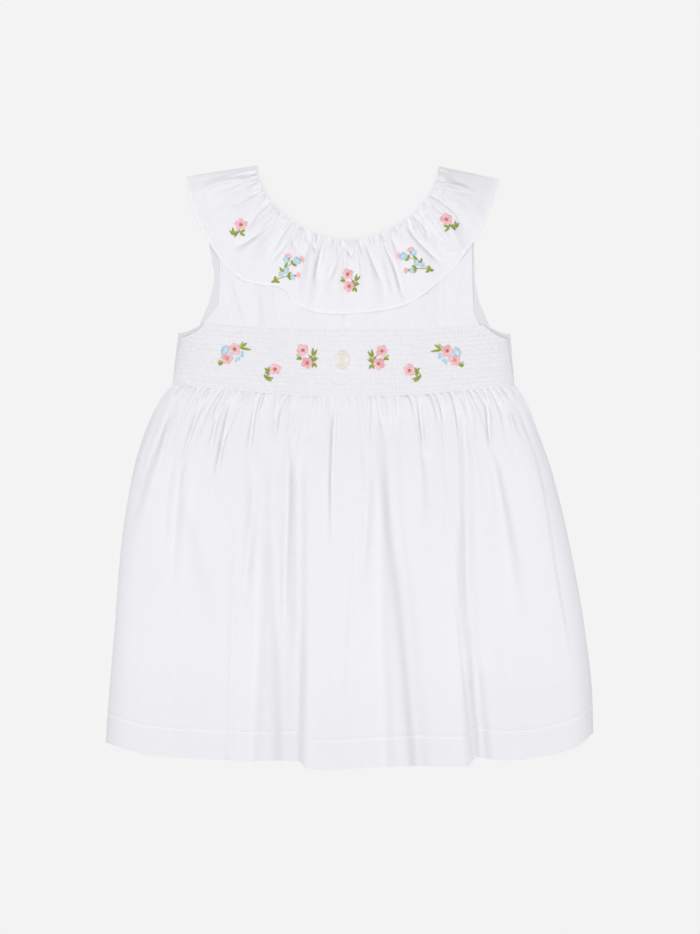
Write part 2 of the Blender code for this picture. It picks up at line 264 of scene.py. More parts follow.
def skirt_point(across, down):
    """X, Y and the distance from the nearer side; across and down both run from 0 to 1."""
    left = smooth_through(down, skirt_sides["down"], skirt_sides["left"])
    right = smooth_through(down, skirt_sides["down"], skirt_sides["right"])
    x = left + (right - left) * across
    waist_x = skirt_sides["left"][0] * (1 - across) + skirt_sides["right"][0] * across
    hem_x = skirt_sides["left"][-1] * (1 - across) + skirt_sides["right"][-1] * across
    hem_y = smooth_through(hem_x, skirt_hem["across"], skirt_hem["along"])
    y = (1 - down) * waist_line(waist_x) + down * hem_y
    return x, y, np.minimum(x - left, right - x)


def skirt_folding(x, down):
    """The rise of all the skirt's large folds together at X, so far down the skirt."""
    height = np.zeros_like(x)
    for waist, quarter, low, hem, start, end, left, right, rise in zip(*skirt_folds.values()):
        path = smooth_through(down, SKIRT_STATIONS, np.array((waist, quarter, low, hem)))
        length = end - start
        comes = 0.02 if start < 0.06 else np.clip(0.25 * length, 0.03, 0.12)
        goes = np.clip(0.5 * length, 0.05, 0.25)
        share = ease((down - start) / comes) * ease((end - down) / goes)
        height += rise * share * hump(x - path, left, right)
    return height * np.clip(down / 0.09, 0, 1) ** 0.6


def waist_gathers(across, down, seed, count):
    """Small close folds that run down from the waist seam, each with its own width and length."""
    chance = np.random.default_rng(seed)
    width = skirt_sides["right"][0] - skirt_sides["left"][0]
    height = np.zeros_like(across)
    for number in range(count):
        place = (number + 0.5 + chance.uniform(-0.4, 0.4)) / count
        strength = 0.62 + 0.38 * min(1.0, abs(place - 0.5) / 0.28)
        rise = chance.uniform(0.6, 1.6) * strength * (1 if number % 2 else -1)
        reach = chance.uniform(0.9, 2.2) / width
        length = chance.uniform(0.04, 0.24) * strength
        drift = chance.uniform(-0.12, 0.12)
        share = ease(down / 0.006) * np.exp(-(down / length) ** 1.5)
        height += rise * share * hump(across - place - drift * down, reach, reach)
    return height


def front_skirt_height(across, down):
    x, y, from_side = skirt_point(across, down)
    roll = rolled_down(np.clip(from_side / SIDE_ROLL, 0.0, 1.0))
    puff = 0.22 * ease(down / 0.02) + 0.78 * ease(down / 0.2)
    body = WAIST_LEVEL + (SKIRT_HEIGHT - WAIST_LEVEL) * puff
    body += 0.35 * hump(down * NEAR_WAIST - 1.8, 1.5, 2.0)
    body += skirt_folding(x, down)
    body += 1.15 * waist_gathers(across, down, 7, 104)
    body += 0.5 * soft_noise(x / 32, y / 90, 3) * ease(down / 0.2)
    body += 0.22 * soft_noise(across * 52, down * 2.4, 5) * ease(down / 0.1)
    from_hem = (1 - down) * SKIRT_DROP
    body += HEM_THICKER * ease((HEM_DEPTH + 0.8 - from_hem) / 0.8)
    body += HEM_RIDGE * hump(from_hem - HEM_DEPTH, 1.1, 1.1)
    body = kept_above(SKIRT_FLOOR, 0.5, body)
    fallen = WAIST_LEVEL + (SIDE_SEAM + CLOTH / 2 - WAIST_LEVEL) * ease(down / 0.1)
    return fallen + (body - fallen) * roll


def even_columns(point, height, down, count, crowding):
    """Places across a row that share out the cloth's own length evenly, folds included."""
    across = np.linspace(0, 1, 1801)
    level = np.full_like(across, down)
    x, z = point(across, level)[0], height(across, level)
    lengths = np.hypot(np.diff(x), crowding * np.diff(z))
    run = np.concatenate(([0], np.cumsum(lengths)))
    return np.interp(np.linspace(0, run[-1], count + 1), run, across)


def skirt_surface(height, rows, count):
    """A skirt panel, row by row from waist to hem."""
    surface = []
    for down in rows:
        across = even_columns(skirt_point, height, down, count, 1.5)
        level = np.full_like(across, down)
        x, y, _ = skirt_point(across, level)
        surface.append(np.column_stack((x, y, height(across, level))))
    return np.array(surface)


def cloth_piece(name, surface, material, thickness=CLOTH, shade=None):
    """A thin closed shell about a surface of rows and columns, with its UV map in metres of cloth.

    shade is light and shade painted into the cotton: it lightens the cotton's own tint by that share at each
    point, or deepens it if minus.
    """
    rows, columns = surface.shape[:2]
    at = np.arange(rows * columns).reshape(rows, columns)
    quads = np.stack((at[:-1, :-1], at[1:, :-1], at[1:, 1:], at[:-1, 1:]), axis=-1).reshape(-1, 4)
    mesh = bpy.data.meshes.new(name)
    mesh.from_pydata((surface.reshape(-1, 3) * METRES).tolist(), [], quads.tolist())
    along_row = np.linalg.norm(np.diff(surface, axis=1), axis=2)
    down_column = np.linalg.norm(np.diff(surface, axis=0), axis=2)
    u = np.concatenate((np.zeros((rows, 1)), np.cumsum(along_row, axis=1)), axis=1)
    v = np.concatenate((np.zeros((1, columns)), np.cumsum(down_column, axis=0)), axis=0)
    u -= u[:, columns // 2][:, None]
    uv = np.stack((u, -v), axis=-1).reshape(-1, 2) * METRES
    mesh.uv_layers.new(name="cloth").data.foreach_set("uv", uv[quads.reshape(-1)].reshape(-1))
    if shade is not None:
        mesh.attributes.new("shade", "FLOAT", "POINT").data.foreach_set("value", shade.reshape(-1))
    mesh.shade_smooth()
    # the shell's edges are crisp all round
    ends = np.zeros(2 * len(mesh.edges), int)
    mesh.edges.foreach_get("vertices", ends)
    row, column = np.divmod(ends.reshape(-1, 2), columns)
    rim = np.zeros(len(mesh.edges), bool)
    for place, last in ((row, rows - 1), (column, columns - 1)):
        rim |= (place == 0).all(axis=1) | (place == last).all(axis=1)
    mesh.attributes.new("sharp_edge", "BOOLEAN", "EDGE").data.foreach_set("value", rim)
    mesh.materials.append(material)
    piece = bpy.data.objects.new(name, mesh)
    bpy.context.scene.collection.objects.link(piece)
    shell = piece.modifiers.new("shell", "SOLIDIFY")
    shell.thickness, shell.offset = thickness * METRES, 0.0
    return piece


def arithmetic(group):
    """A function that adds one sum to a node group, of numbers or sockets, and gives its result."""
    def add(operation, first, second=None, third=None):
        made = group.nodes.new("ShaderNodeMath")
        made.operation = operation
        for socket, value in zip(made.inputs, (first, second, third)):
            if isinstance(value, (int, float)):
                socket.default_value = value
            elif value is not None:
                group.links.new(value, socket)
        return made.outputs[0]

    return add


def plain_weave():
    """A node group: the height of a plain weave on the cloth's own UV map, with uneven threads."""
    group = bpy.data.node_groups.new("plain weave", "ShaderNodeTree")
    for name, value in (("Thread", WEAVE), ("Unevenness", 0.5)):
        socket = group.interface.new_socket(name, in_out="INPUT", socket_type="NodeSocketFloat")
        socket.default_value = value
    for name in ("Height", "Shade"):
        group.interface.new_socket(name, in_out="OUTPUT", socket_type="NodeSocketFloat")
    node, link = group.nodes.new, group.links.new
    given, result = node("NodeGroupInput"), node("NodeGroupOutput")
    math = arithmetic(group)

    place = node("ShaderNodeUVMap")
    place.uv_map = "cloth"
    axes = node("ShaderNodeSeparateXYZ")
    link(place.outputs["UV"], axes.inputs[0])
    turn = math("DIVIDE", np.pi, given.outputs["Thread"])
    warp_angle = math("MULTIPLY", axes.outputs["X"], turn)
    weft_angle = math("MULTIPLY", axes.outputs["Y"], turn)
    over = math("MULTIPLY", math("SINE", warp_angle), math("SINE", weft_angle))
    warp_round = math("ABSOLUTE", math("COSINE", warp_angle))
    weft_round = math("ABSOLUTE", math("COSINE", weft_angle))
    warp = math("MULTIPLY", warp_round, math("MULTIPLY_ADD", over, 0.5, 0.5))
    weft = math("MULTIPLY", weft_round, math("MULTIPLY_ADD", over, -0.5, 0.5))
    threads = math("ADD", warp, weft)
    slubs = []
    for scale in ((1500.0, 60.0, 1.0), (60.0, 1500.0, 1.0)):
        stretch = node("ShaderNodeMapping")
        stretch.inputs["Scale"].default_value = scale
        link(place.outputs["UV"], stretch.inputs["Vector"])
        noise = node("ShaderNodeTexNoise")
        noise.inputs["Scale"].default_value = 1.0
        noise.inputs["Detail"].default_value = 2.0
        link(stretch.outputs[0], noise.inputs["Vector"])
        slubs.append(noise.outputs["Fac"])
    slub = math("ADD", slubs[0], slubs[1])
    link(math("MULTIPLY_ADD", slub, given.outputs["Unevenness"], threads), result.inputs["Height"])
    link(math("MULTIPLY", slub, 0.5), result.inputs["Shade"])
    return group


weave = plain_weave()


def cotton(name, light, deep, thread, bump):
    """Matt white cotton: two tints mixed by the weave's unevenness, times 1 + the piece's own
    painted light and shade, with the weave as a bump."""
    material = bpy.data.materials.new(name)
    material.use_nodes = True
    nodes, link = material.node_tree.nodes, material.node_tree.links.new
    shader = nodes["Principled BSDF"]
    shader.inputs["Roughness"].default_value = 0.92
    shader.inputs["Specular IOR Level"].default_value = 0.25
    shader.inputs["Sheen Weight"].default_value = 0.08
    shader.inputs["Sheen Roughness"].default_value = 0.6
    threads = nodes.new("ShaderNodeGroup")
    threads.node_tree = weave
    threads.inputs["Thread"].default_value = thread
    threads.inputs["Unevenness"].default_value = 0.7
    tints = nodes.new("ShaderNodeMix")
    tints.data_type = "RGBA"
    tints.inputs["A"].default_value = (*deep, 1.0)
    tints.inputs["B"].default_value = (*light, 1.0)
    link(threads.outputs["Shade"], tints.inputs["Factor"])
    shade = nodes.new("ShaderNodeAttribute")
    shade.attribute_name = "shade"
    share = nodes.new("ShaderNodeMath")
    share.inputs[1].default_value = 1.0
    link(shade.outputs["Fac"], share.inputs[0])
    shaded = nodes.new("ShaderNodeVectorMath")
    shaded.operation = "SCALE"
    link(tints.outputs["Result"], shaded.inputs[0])
    link(share.outputs[0], shaded.inputs["Scale"])
    link(shaded.outputs[0], shader.inputs["Base Color"])
    relief = nodes.new("ShaderNodeBump")
    relief.inputs["Strength"].default_value = bump
    relief.inputs["Distance"].default_value = 0.00012
    link(threads.outputs["Height"], relief.inputs["Height"])
    link(relief.outputs["Normal"], shader.inputs["Normal"])
    return material


white_cotton = cotton("white_cotton", (0.788, 0.779, 0.808), (0.728, 0.719, 0.748), WEAVE, 0.7)

front_rows = np.concatenate((
    np.linspace(0, 0.16, 48), np.linspace(0.16, 0.90, 68)[1:], np.linspace(0.90, 0.94, 22)[1:],
    np.linspace(0.94, 1, 9)[1:]))
front_panel = skirt_surface(front_skirt_height, front_rows, 320)
# Painted light and shade: painted shade among the waist gathers with a painted highlight along
# the waist seam, painted shade down in the folds and painted light on their ridges, painted shade
# towards the side edges where the skirt rolls down, and a painted highlight along the hem's stitches
# with a line of painted shade just above them; darker in the turned-up hem and over the lower skirt.
waist_painted_shade_and_light = -0.010 * (1 - ease(front_rows / 0.5)) + 0.04 * hump(front_rows * NEAR_WAIST - 1.0, 1.2, 1.2)
above_hem = (1 - front_rows) * SKIRT_DROP - HEM_DEPTH
hem_tint_and_painted_light = -0.012 * ease((0.6 - above_hem) / 1.2) - 0.022 * ease((front_rows - 0.7) / 0.2)
hem_tint_and_painted_light += 0.07 * hump(above_hem, 0.9, 0.9) - 0.03 * hump(above_hem - 2.0, 0.9, 0.9)
side_painted_shade = -0.006 - 0.085 * np.exp(-(from_ends(front_panel) / 9.0) ** 1.2)
fold_painted_light_and_shade = 0.009 * np.clip(front_panel[:, :, 2] - SKIRT_HEIGHT, -4.5, 3.0) * ease(front_rows / 0.3)[:, None]
skirt_front = cloth_piece(
    "front_skirt", front_panel, white_cotton, shade=fold_painted_light_and_shade + side_painted_shade + (waist_painted_shade_and_light + hem_tint_and_painted_light)[:, None])
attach(skirt_front, "root")
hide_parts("skirt_front")


# ---- Back skirt ---------------------------------------------------------------------------
# The same panel of white cotton behind, gathered and hemmed the same way. It lies on the
# surface, flat but for soft ridges where the front's weight leaves it room.
BACK_FLAT = 0.35
BACK_LIFT = 0.16                    # how much of the front's folds shows in the back


def back_skirt_height(across, down):
    x, y, from_side = skirt_point(across, down)
    roll = 1 - np.sqrt(1 - (1 - np.clip(2 * from_side / SIDE_ROLL, 0.0, 1.0)) ** 2)
    away = ease(down / 0.1)
    room = ease(from_side / SIDE_ROLL)
    lift = BACK_LIFT * (front_skirt_height(across, down) - SKIRT_HEIGHT)
    ridges = 0.45 * waist_gathers(across, down / 2.2, 23, 70)
    ridges += 0.25 * soft_noise(across * 40, down * 2, 29)
    fallen = SIDE_SEAM - CLOTH / 2 - BACK_FLAT
    return BACK_FLAT + away * fallen * roll + np.maximum(away * lift * room + ridges, 0.0) * room


back_rows = np.concatenate((np.linspace(0, 0.2, 24), np.linspace(0.2, 1, 50)[1:]))
skirt_back = cloth_piece("back_skirt", skirt_surface(back_skirt_height, back_rows, 200), white_cotton)
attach(skirt_back, "root")
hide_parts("skirt_back")

# ---- Shirred bands ------------------------------------------------------------------------
# The bodice is a band of the same cotton, sewn with thirteen rows of elastic thread. Each row
# draws the cloth into tiny upright puckers. Front and back bands meet at the side seams.
BAND_FRONT, BAND_BACK = 3.1, 1.15   # heights of their middles
BAND_LEFT, BAND_RIGHT = -139.5, 130.0       # the top corners, the points of the underarms
BAND_FLARE = (7.5, 6.0)                     # how far the sides lean out down to the waist
BAND_TOP_MIDDLE, BAND_TOP_RISE = 113.5, 7.0
BAND_HEIGHT, BAND_TUCK = 56.0, 1.5          # its height, and what each seam holds flat of it
BAND_ROLL = 11.0                            # how far in from each side the bands roll together
UNDERARM_CUT, UNDERARM_DROP = 20.0, 13.0    # the armholes trim the band's top corners
BACK_DROP = 10.0                            # less at the back, which shows a little above
BACK_BAND_PAINTED_SHADE = -0.14             # painted shade: the edge of the back band that shows behind the front band, tinted deeper
SHIRRING_ROWS = 13
PUFF = 0.95                         # how far the cloth stands up between two rows
PUCKER = 2.45                       # from one pucker to the next along a row


def yoke_seam(x):
    """The seam between band and yoke."""
    return BAND_TOP_MIDDLE + BAND_TOP_RISE * (x / BAND_LEFT) ** 2


def band_top_line(x, left, right, drop=UNDERARM_DROP):
    """The band's top edge: the yoke seam, hollowed at both ends where the armholes begin."""
    inward = np.clip(np.minimum(x - left, right - x) / UNDERARM_CUT, 0.0, 1.0)
    return yoke_seam(x) - drop * (1 - inward ** 1.5)


def shirred_band(level, face, wider, seed, rows, count):
    """A band; face is 1 where its puckers stand up and -1 where they hang down."""
    surface = []
    even = np.linspace(0, 1, count + 1)
    across = 0.85 * even + 0.15 * (0.5 - 0.5 * np.cos(np.pi * even))
    for down in np.linspace(0, 1, rows + 1):
        left = BAND_LEFT - wider * (1 - down) - BAND_FLARE[0] * down
        right = BAND_RIGHT + wider * (1 - down) + BAND_FLARE[1] * down
        x = left + (right - left) * across
        top = band_top_line(x, left, right, UNDERARM_DROP if face > 0 else BACK_DROP)
        bottom = waist_line(x) - 0.2
        full_top = yoke_seam(x)
        y = top + (bottom - top) * down
        # which gap between two rows of elastic this is, and how far through it
        place = (full_top - y) / (full_top - bottom) * (SHIRRING_ROWS + 1)
        place = place + 0.08 * soft_noise(x / 12, np.full_like(x, 3.0), seed)
        gap = np.floor(place)
        puff = np.abs(np.sin(np.pi * place)) ** 0.6
        drift = 0.6 * soft_noise(x / 16, gap * 0.5, seed + 1)
        drift = drift + 0.25 * soft_noise(x / 5.0, gap * 1.0, seed + 2)
        fold = 0.5 + 0.5 * np.cos(2 * np.pi * (x / PUCKER + drift))
        tall = 0.7 + 0.3 * soft_noise(x / 3.0, gap * 1.0, seed + 3)
        rise = PUFF * puff * (0.15 + 0.90 * fold * tall) - 0.35
        rise += 0.25 * soft_noise(x / 30, np.full_like(x, down * 2.0), seed + 4)
        ends = np.minimum(x - left, right - x)
        roll = np.sqrt(1 - (1 - np.clip(ends / BAND_ROLL, 0.0, 1.0)) ** 2)
        side = (BAND_FRONT + BAND_BACK) / 2 + face * CLOTH / 2
        tucked = ease(down * BAND_HEIGHT / BAND_TUCK) * ease((1 - down) * BAND_HEIGHT / BAND_TUCK)
        z = side + (level + face * rise * tucked - side) * roll
        surface.append(np.column_stack((x, y, z)))
    return np.array(surface)


# the same cotton in deeper tints: painted shade among the shirring's puckers
shirred_cotton = cotton("shirred_cotton", (0.750, 0.741, 0.769), (0.695, 0.686, 0.714), WEAVE, 0.6)
front_shirring = shirred_band(BAND_FRONT, 1, 0.0, 41, 66, 540)
# painted shade: deeper towards both ends, where the band rolls away
band_end_painted_shade = 0.004 - 0.11 * np.exp(-(from_ends(front_shirring) / 6.0) ** 1.2)
band_front = cloth_piece("front_band", front_shirring, shirred_cotton, shade=band_end_painted_shade)
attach(band_front, "root")
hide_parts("band_front")
back_shirring = shirred_band(BAND_BACK, -1, 2.5, 47, 50, 330)
band_back = cloth_piece(
    "back_band", back_shirring, shirred_cotton, 0.5, shade=np.full(back_shirring.shape[:2], BACK_BAND_PAINTED_SHADE))
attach(band_back, "root")
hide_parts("band_back")

# ---- Yokes --------------------------------------------------------------------------------
# Plain panels of white cotton between the bands and the neck, with hollowed armhole edges.
# The ruffle hides most of the front one.
YOKE_FRONT, YOKE_BACK = 5.2, 3.7    # heights of their middles
YOKE_FALL = 1.4                     # how far they sink at their armhole edges
YOKE_SLOPE = 36.0                   # a yoke climbs from the band over this length
# The least height of the front yoke over the back one, middle to middle. It is less than CLOTH,
# so where the front's folds are deepest the two cloths still cross a little.
YOKE_CLEARANCE = 0.45
# painted shade: the whole front yoke a touch deeper
FRONT_YOKE_PAINTED_SHADE = -0.016
BACK_YOKE_PAINTED_SHADE = -0.12             # painted shade on the strip seen inside the armholes, tinted deeper
SHOULDER_INSET = 7.5                # the yokes end this far inside the ruffle's shoulder folds
NECK_X, NECK_TOP = -1.7, 249.0
NECK_HALF, NECK_DEEP, NECK_POWER = 75.0, 61.5, 1.8

# The armhole edges of both yokes, up from the band to the shoulders.
ARMHOLES = """
    height  front_left  front_right  back_left  back_right
     119.0      -122.0        107.0     -125.5       116.5
     130.0      -112.8        102.4     -119.8       110.7
     138.0      -108.6        102.0     -116.5       107.0
     158.0      -107.8        101.3     -112.5       103.5
     190.0      -107.8        100.8     -116.5       102.4
     240.0      -111.0         99.0     -118.0       102.4
"""

# The shoulder folds, either side of the neck.
SHOULDERS = """
    across    along
    -136.3    240.4
     -74.0    248.6
      73.5    249.5
     123.1    237.9
"""

# Folds of the front yoke: the points that each runs through, its reach to either side of its
# line, and its rise.
YOKE_FOLDS = """
      x1    y1     x2    y2     x3    y3   left  right   rise
    -106   162   -102   140    -96   116    2.0    3.5   -1.8
     -97   162    -91   138    -83   114    2.0    4.0   -1.7
    -101   162    -97   138    -90   118    2.0    2.0    0.8
     -76   162    -73   138    -68   116    2.5    3.5   -0.9
     -62   156    -61   135    -60   116    2.5    3.0   -1.0
     -46   146    -46   130    -46   114    3.0    3.0    0.7
     -30   140    -29   128    -28   113    2.0    3.0   -0.7
      -6   136     -4   120     -2   112    0.6    2.6   -1.3
      24   146     25   128     26   112    2.5    4.0   -0.9
      44   150     45   134     46   116    2.5    3.0   -0.6
      62   156     64   134     68   116    3.0    3.0   -1.1
      80   166     80   140     80   118    2.0    3.0   -0.8
      96   166     92   140     86   120    3.0    2.0   -1.2
"""
armholes, shoulders = table(ARMHOLES), table(SHOULDERS)


def neck_line(x):
    part = np.clip(np.abs((x - NECK_X) / NECK_HALF), 0.0, 1.0)
    return NECK_TOP - NECK_DEEP * (1 - part ** NECK_POWER) ** (1 / NECK_POWER)


def creasing(x, y, folds):
    """The rise of folds that each follow a smooth line through three points and fade at its ends."""
    height = np.zeros_like(x)
    t = np.linspace(0, 1, 13)
    for x1, y1, x2, y2, x3, y3, left, right, rise in zip(*folds.values()):
        bend_x, bend_y = 2 * x2 - (x1 + x3) / 2, 2 * y2 - (y1 + y3) / 2
        line_x = (1 - t) ** 2 * x1 + 2 * t * (1 - t) * bend_x + t * t * x3
        line_y = (1 - t) ** 2 * y1 + 2 * t * (1 - t) * bend_y + t * t * y3
        nearest = np.full(x.shape, 1e9)
        offset, run = np.zeros_like(x), np.zeros_like(x)
        for i in range(12):
            step_x, step_y = line_x[i + 1] - line_x[i], line_y[i + 1] - line_y[i]
            length = np.hypot(step_x, step_y)
            along = ((x - line_x[i]) * step_x + (y - line_y[i]) * step_y) / length ** 2
            along = np.clip(along, 0, 1)
            gap_x = x - line_x[i] - along * step_x
            gap_y = y - line_y[i] - along * step_y
            distance = np.hypot(gap_x, gap_y)
            closer = distance < nearest
            nearest = np.where(closer, distance, nearest)
            sign = np.sign(gap_y * step_x - gap_x * step_y)
            offset = np.where(closer, distance * sign, offset)
            run = np.where(closer, (i + along) / 12, run)
        share = ease(run / 0.3) * ease((1 - run) / 0.3)
        height += rise * share * hump(offset, left, right)
    return height


def yoke_height(level, band_level, from_band):
    return band_level + (level - band_level) * ease(from_band / YOKE_SLOPE)


def yoke_surface(side, level, band_level, folds, rows, count):
    """The yoke of one side, from the band's seam up to the neck and shoulders."""
    surface = []
    at = np.linspace(-1, 1, count + 1)
    for up in np.linspace(1, 0, rows + 1) ** 1.2:
        height = yoke_seam(100.0) + (240.0 - yoke_seam(100.0)) * up
        left = smooth_through(height, armholes["height"], armholes[side + "_left"])
        right = smooth_through(height, armholes["height"], armholes[side + "_right"])
        inside = np.clip(at / 0.8, -1, 1)
        neck = NECK_X + NECK_HALF * (0.6 * inside + 0.4 * np.sin(inside * np.pi / 2))
        to_side = np.clip((np.abs(at) - 0.8) / 0.2, 0, 1)
        x = neck + (np.where(at < 0, left, right) - neck) * to_side
        drop = UNDERARM_DROP if side == "front" else BACK_DROP
        bottom = band_top_line(x, BAND_LEFT, BAND_RIGHT, drop) - 1.0
        shoulder = np.interp(x, shoulders["across"], shoulders["along"]) - SHOULDER_INSET
        top = np.minimum(neck_line(x), shoulder)
        y = bottom + (top - bottom) * up
        z = yoke_height(level, band_level, y - bottom)
        from_armhole = (1 - np.abs(at)) * 0.5 * (right - left)
        z = z - YOKE_FALL * (1 - ease(from_armhole / 9.0)) * ease((y - bottom) / 12.0)
        if folds is not None:
            free = ease((y - bottom) / 4.0)
            z = z + creasing(x, y, folds) * free + 0.25 * soft_noise(x / 14, y / 30, 61) * free
            gathers = 0.30 * soft_noise(x / 2.3, np.full_like(x, 1.0), 67)
            z = z + gathers * ease((y - bottom) / 1.5) * np.exp(-((y - bottom) / 9.0) ** 2)
            lowest = yoke_height(YOKE_BACK, BAND_BACK, y - bottom) + YOKE_CLEARANCE
            z = kept_above(lowest, 0.12, z)
        surface.append(np.column_stack((x, y, z)))
    return np.array(surface)


front_bib = yoke_surface("front", YOKE_FRONT, BAND_FRONT - 0.5, table(YOKE_FOLDS), 90, 190)
yoke_front = cloth_piece(
    "front_yoke", front_bib, white_cotton, shade=np.full(front_bib.shape[:2], FRONT_YOKE_PAINTED_SHADE))
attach(yoke_front, "root")
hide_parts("yoke_front")
back_bib = yoke_surface("back", YOKE_BACK, BAND_BACK, None, 40, 90)
yoke_back = cloth_piece(
    "back_yoke", back_bib, white_cotton, shade=np.full(back_bib.shape[:2], BACK_YOKE_PAINTED_SHADE))
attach(yoke_back, "root")
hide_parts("yoke_back")

# ---- Ruffle -------------------------------------------------------------------------------
# A deep frill of white cotton gathered onto the neck, which falls over the yokes and the
# shoulders. Its edge is a narrow stitched hem.
RUFFLE_FRONT, RUFFLE_LOFT = 6.7, 1.5        # its height, and how far it stands off the yoke
RUFFLE_CLEARANCE = 0.75             # its least height over the yoke, middle to middle
RUFFLE_BACK = 0.35
RUFFLE_ROWS = 64                    # of points in the front one, from the neck to the edge
RUFFLE_ROLL = 16.0                  # how far in from a shoulder fold the ruffle turns down
SHOULDER_RIDGE = 1.4                # how far it stands up there
NARROW_HEM = 3.0                    # turned in along its edge
RUFFLE_CENTRE = (-1.7, 240.0)       # the reach of the ruffle is measured from here
SHOULDER_SEAM = 3.5                 # where the front and back ruffles meet
LAST_ANGLE = 179.0                  # the right shoulder, in degrees round from the left one

# How far its outer edge reaches, by the angle round from the left shoulder.
RUFFLE_REACH = """
    angle   reach
      0.0   134.0
      8.5   131.9
     17.0   129.5
     24.4   127.2
     34.2   125.6
     43.5   123.0
     49.0   117.4
     54.0   111.8
     57.7   107.8
     60.5   107.6
     64.5   111.2
     68.4   114.2
     74.3   115.4
     82.6   114.4
     95.1   113.2
    105.5   114.5
    114.0   116.2
    121.0   116.0
    129.0   115.0
    137.0   115.8
    146.5   116.0
    153.4   117.2
    161.4   118.2
    170.7   120.8
    179.0   124.8
"""

# Its broad flutes: the angle where each leaves the neck and where it reaches the edge, half
# of its spread in degrees, and its rise.
FLUTES = """
    neck   edge  spread   rise
       8     12     5.0   -1.2
      16     24     5.5    1.8
      26     34     4.5   -1.2
      36     42     4.5    2.0
      44     51     4.0   -1.4
      52     58     3.5    2.2
      61     66     4.0   -1.5
      68     72     3.0    2.6
      76     77     4.0   -1.8
      84     84     4.0    2.2
      93     93     4.5   -0.6
     101    101     4.0    2.0
     108    107     3.5   -1.5
     115    111     3.5    2.4
     122    116     3.5   -1.4
     132    126     4.5    2.4
     144    139     4.5   -1.8
     152    146     3.0    2.8
     160    155     4.0   -1.5
     168    163     4.0    2.0
     174    171     3.5   -1.0
"""

# Its sharper creases: the points that each runs through, its reach to the left and right of
# its line, and its rise.
RUFFLE_CREASES = """
      x1    y1     x2    y2     x3    y3   left  right   rise
    -124   226   -107   235    -78   238    2.6    2.6    1.6
    -130   214   -112   229    -80   235    3.0    3.5   -1.4
     -98   226    -87   229    -72   232    1.2    1.4   -0.8
     -99   213    -88   221    -70   229    1.8    2.4   -1.5
     -84   196    -76   210    -65   221    1.8    2.4   -1.8
    -108   178    -81   189    -58   211    2.0    2.6   -1.9
     -96   174    -82   182    -70   193    2.6    2.6    1.2
     -74   168    -62   184    -49   203    2.4    3.0   -1.7
     -66   168    -55   181    -43   198    1.5    1.8   -1.2
     -44   195    -47   186    -42   178    1.4    1.6   -1.2
     -37   193    -32   185    -27   176    1.6    2.0   -1.9
     -21   186    -26   168    -29   150    1.8    2.4   -2.6
     -20   184    -22   172    -22   160    2.0    2.0    0.8
     -10   189    -11   171    -19   151    1.8    1.8   -1.9
      -7   188     -2   179      5   171    1.4    1.8   -1.7
       6   189     11   177     15   157    1.6    1.6   -1.5
      13   187     19   169     29   148    1.7    2.0   -1.8
      29   156     30   144     30   130    3.2    2.6   -1.6
      25   187     35   169     44   139    1.7    2.2   -2.0
      40   158     42   146     48   136    1.4    1.6   -1.0
      36   192     38   184     39   178    2.0    2.0   -1.1
      47   204     57   186     84   162    2.0    2.6   -2.6
      61   202     64   194     62   185    1.8    2.0   -1.6
      51   211     58   202     65   192    1.4    1.6   -1.3
      57   212     69   194     88   179    1.6    1.8   -1.6
      70   175     83   177     97   175    1.1    1.8   -2.2
      72   181     84   182     98   181    3.0    2.4    1.2
      58   222     60   217     61   211    1.2    1.4   -1.3
      63   222     66   218     69   213    1.2    1.4   -1.3
      60   226     76   216     94   201    1.8    1.6    1.2
      86   208     92   202     96   193    2.0    3.0   -1.2
      70   231     87   228    104   223    2.0    2.4   -1.0
      70   234     86   232    100   229    1.8    1.8    1.3
     -58   149    -50   146    -42   147    1.2    1.6   -1.6
     -57   146    -50   140    -43   135    2.6    1.6    0.8
"""

ruffle_reach, flutes = table(RUFFLE_REACH), table(FLUTES)
ruffle_creases = table(RUFFLE_CREASES)


